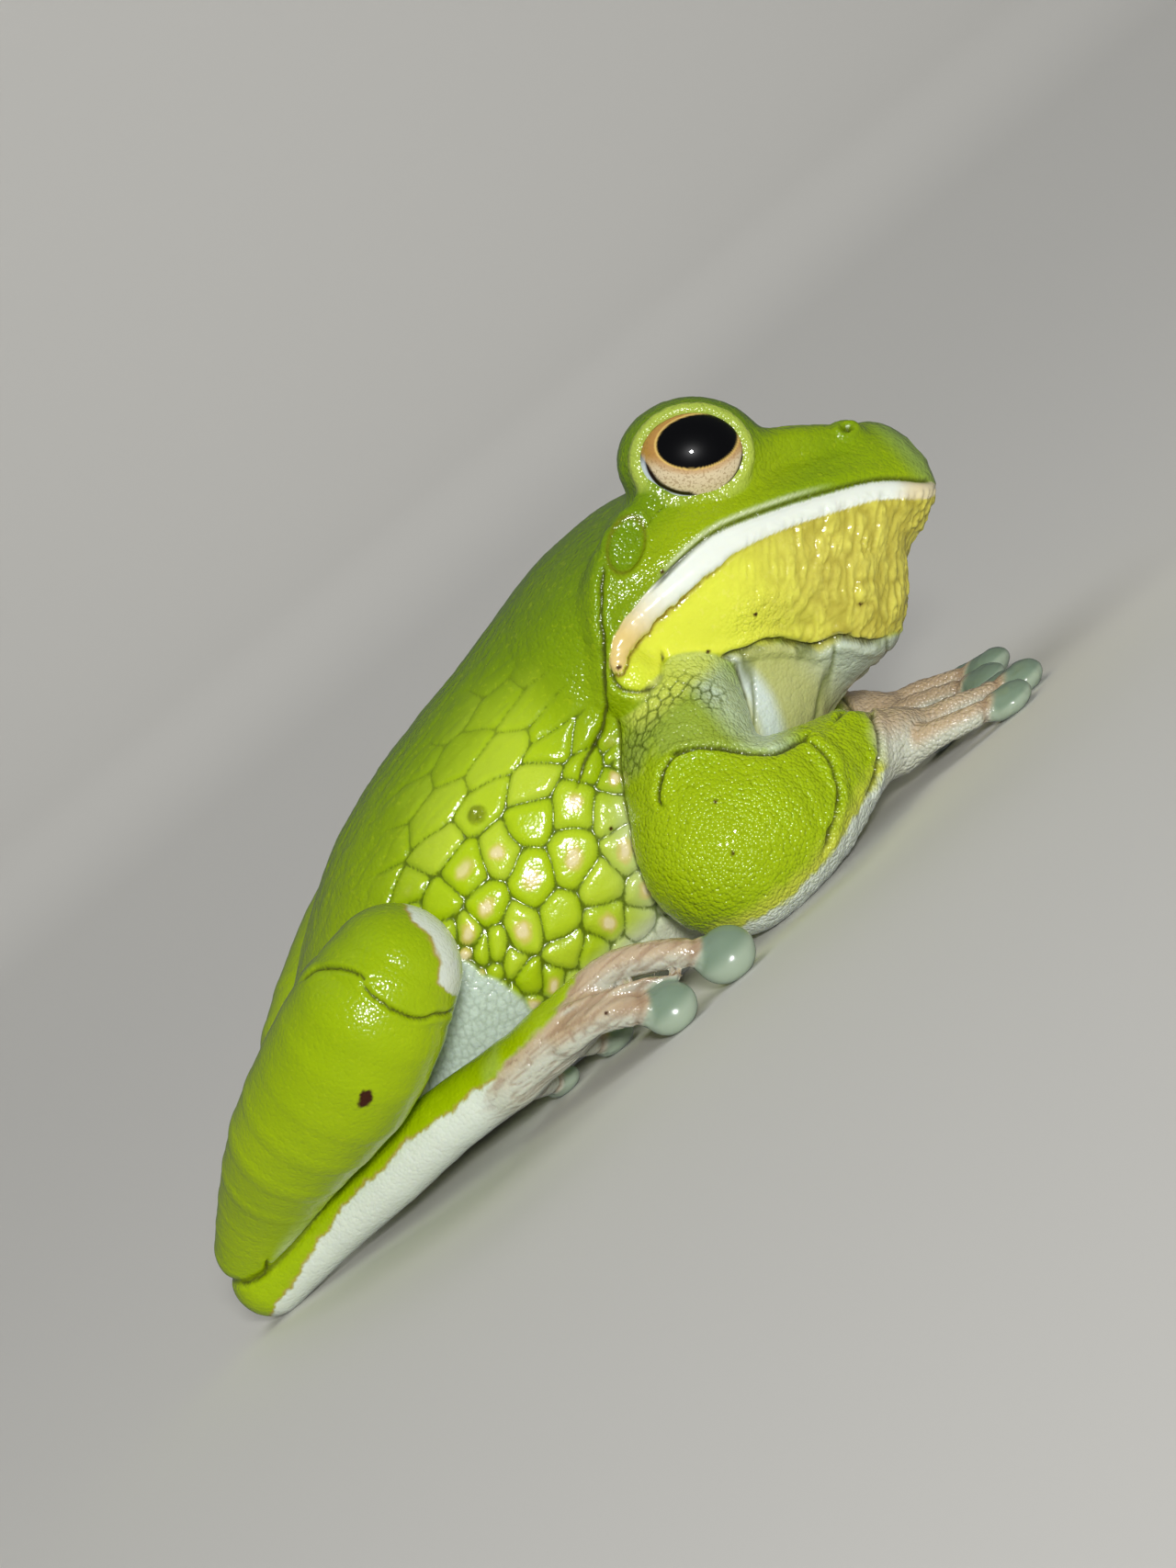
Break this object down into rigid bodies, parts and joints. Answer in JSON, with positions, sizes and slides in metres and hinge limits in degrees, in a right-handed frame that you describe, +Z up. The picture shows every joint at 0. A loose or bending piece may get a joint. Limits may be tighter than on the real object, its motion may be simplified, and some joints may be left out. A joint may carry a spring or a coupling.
{
  "type": "white-lipped tree frog",
  "caption": "Life-size crouching white-lipped tree frog, bright green with a pale lip, elbows and toes flat on the ground, head raised.",
  "frame": {"origin": "middle of the box round the frog, on the floor it rests on", "axes": "+X towards the snout, +Y towards the frog's left, +Z up"},
  "size_m": [0.1194, 0.0912, 0.0512],
  "materials": {
    "back_skin": "moist, finely granular, leaf green skin",
    "throat_skin": "moist, wrinkled, pale yellow-green skin",
    "finger_skin": "moist, smooth, pale pinkish-grey skin with translucent discs",
    "eye": "wet, polished, black pupil in a golden and beige iris"
  },
  "bodies": {
    "root": {"head": "back_skin", "throat": "throat_skin", "torso": "back_skin", "eye_right": "eye", "eye_left": "eye", "upper_arm_right": "back_skin", "upper_arm_left": "back_skin", "forearm_right": "back_skin", "forearm_left": "back_skin", "hand_right": "finger_skin", "hand_left": "finger_skin", "thigh_right": "back_skin", "thigh_left": "back_skin", "shin_right": "back_skin", "shin_left": "back_skin", "tarsus_right": "back_skin", "tarsus_left": "back_skin", "foot_right": "finger_skin", "foot_left": "finger_skin"}
  },
  "joints": []
}
